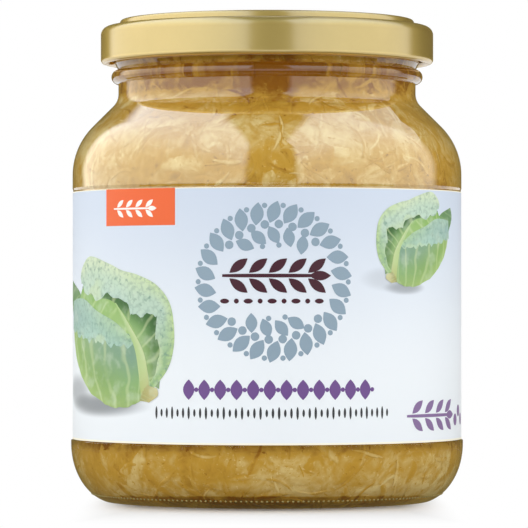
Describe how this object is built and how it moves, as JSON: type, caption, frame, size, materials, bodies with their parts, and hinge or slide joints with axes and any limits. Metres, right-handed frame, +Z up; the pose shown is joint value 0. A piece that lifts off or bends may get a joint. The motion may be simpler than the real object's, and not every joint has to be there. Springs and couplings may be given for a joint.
{
  "type": "sauerkraut jar",
  "caption": "Round clear glass jar of shredded sauerkraut with a gold twist-off cap and a wide paper label round its straight body.",
  "frame": {"origin": "centre of the base ring's resting plane, on the jar's axis", "axes": "+Z up along the jar's axis, the front of the label towards -Y, the label's bare strip towards +Y"},
  "size_m": [0.1002, 0.1002, 0.1232],
  "materials": {
    "clear_glass": "clear and glossy",
    "gold_lacquer": "satin gold lacquer over tinplate",
    "label_paper": "smooth coated paper",
    "sauerkraut": "wet"
  },
  "bodies": {
    "root": {"jar": "clear_glass", "lid": "gold_lacquer", "label": "label_paper", "sauerkraut": "sauerkraut"}
  },
  "joints": []
}
